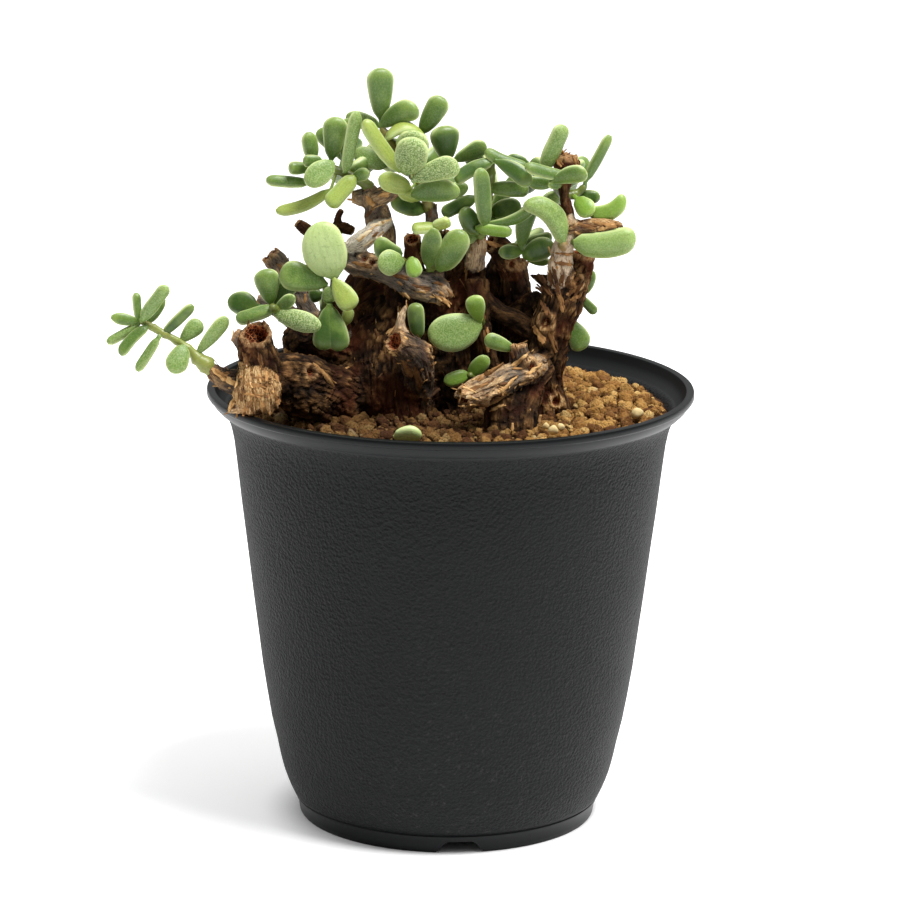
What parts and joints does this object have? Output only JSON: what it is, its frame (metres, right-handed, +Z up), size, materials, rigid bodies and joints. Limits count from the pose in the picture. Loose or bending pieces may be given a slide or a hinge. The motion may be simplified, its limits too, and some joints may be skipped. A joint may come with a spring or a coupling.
{
  "type": "potted succulent plant",
  "caption": "Low woody succulent with a pruned branching trunk and plump oval leaves, in a round tapered nursery pot filled with granular soil.",
  "frame": {"origin": "the middle of the whole object's box in plan, on the surface the pot stands on", "axes": "+Z up along the pot's axis, -Y towards the side that the picture shows, +X to that picture's right"},
  "size_m": [0.1248, 0.105, 0.1637],
  "materials": {
    "black_plastic": "fine embossed matte",
    "clay_soil": "dry granules",
    "bark": "rough bark",
    "leaf_mid": "satin leaf",
    "leaf_grey": "powdery leaf",
    "leaf_dark": "satin leaf",
    "leaf_fresh": "satin leaf",
    "leaf_pale": "powdery leaf"
  },
  "bodies": {
    "root": {"pot": "black_plastic", "soil": "clay_soil", "wood": "bark", "crown": "leaf_mid", "left_tuft": "leaf_mid", "middle_shoot": "leaf_mid", "rear_shoot": "leaf_dark", "right_shoot": "leaf_mid", "thin_shoot": "leaf_mid", "hooked_shoot": "leaf_grey", "right_leaf": "leaf_mid", "front_pair": "leaf_mid", "front_bunch": "leaf_grey", "round_leaf": "leaf_pale", "left_cluster": "leaf_mid", "left_lower": "leaf_grey", "front_leaf": "leaf_mid", "small_leaf": "leaf_mid", "leaf_pair": "leaf_fresh", "deep_leaf": "leaf_dark", "column_leaves": "leaf_mid", "low_leaf": "leaf_mid", "sprig": "leaf_grey", "shoot_back_top": "leaf_mid", "shoot_back_tuft": "leaf_mid", "shoot_back_right": "leaf_mid", "shoot_back_edge": "leaf_mid", "shoot_back_middle": "leaf_mid", "shoot_back_low": "leaf_mid", "shoot_back_left": "leaf_mid", "fallen_leaf": "leaf_pale"}
  },
  "joints": []
}
